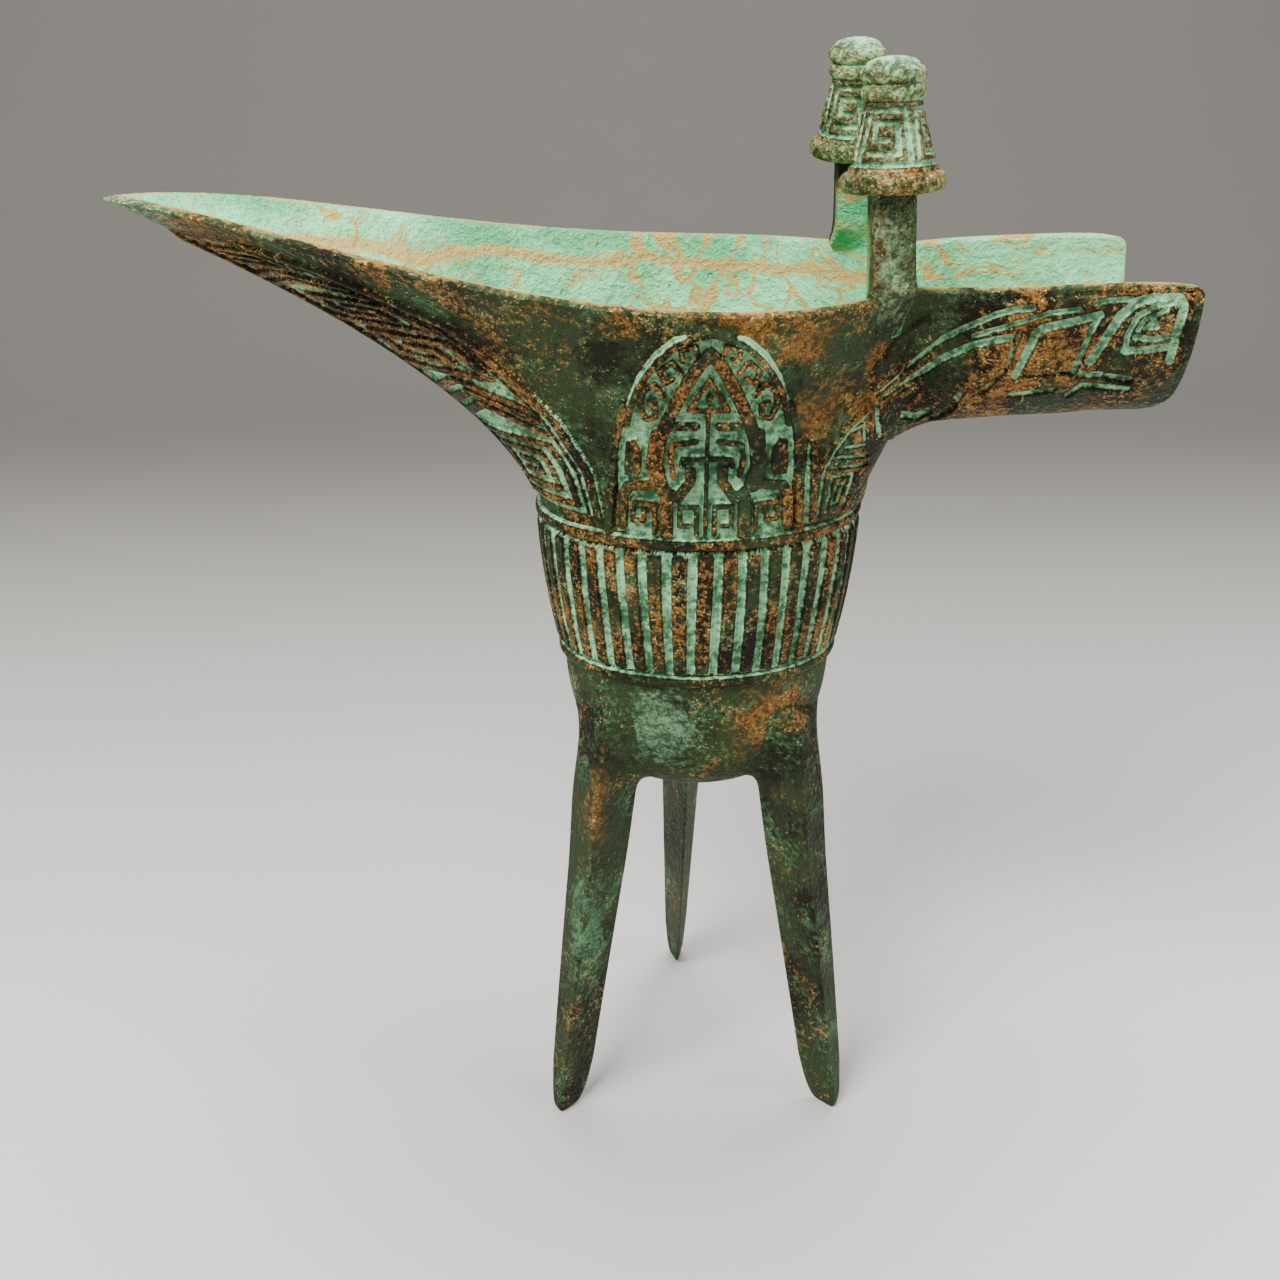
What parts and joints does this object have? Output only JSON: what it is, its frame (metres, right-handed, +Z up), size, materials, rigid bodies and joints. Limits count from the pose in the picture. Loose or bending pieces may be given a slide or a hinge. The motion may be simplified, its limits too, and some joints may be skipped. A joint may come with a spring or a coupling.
{
  "type": "tripod wine vessel",
  "caption": "Small cast bronze jue: oval cup on blade legs with a pointed tail, a trough spout, capped posts, a loop handle and relief bands.",
  "frame": {"origin": "on the floor, under the middle of the oval cup", "axes": "+Z up, spout along +X, tail along -X, handle on the +Y side"},
  "size_m": [0.11, 0.0478, 0.1246],
  "materials": {
    "bronze_wall": "dark green patinated cast bronze, pale verdigris inside",
    "bronze_leg": "dark patinated cast bronze",
    "bronze_cap": "dark brown patinated bronze with green in the grooves",
    "bronze_relief": "raised ornament, brown-black on top with green in the grooves"
  },
  "bodies": {
    "root": {"cup_bowl": "bronze_wall", "cup_mouth": "bronze_wall", "tail_trough": "bronze_wall", "spout_trough": "bronze_wall", "leg_left": "bronze_leg", "leg_right": "bronze_leg", "leg_rear": "bronze_leg", "post_near": "bronze_leg", "post_far": "bronze_leg", "cap_near": "bronze_cap", "cap_far": "bronze_cap", "handle_loop": "bronze_leg", "handle_mask": "bronze_relief", "upper_bead": "bronze_relief", "lower_bead": "bronze_relief", "belly_ribs": "bronze_relief", "mask_plaque": "bronze_relief", "tail_plaque_near": "bronze_relief", "tail_plaque_far": "bronze_relief", "spout_plaque_near": "bronze_relief", "spout_plaque_far": "bronze_relief"}
  },
  "joints": []
}
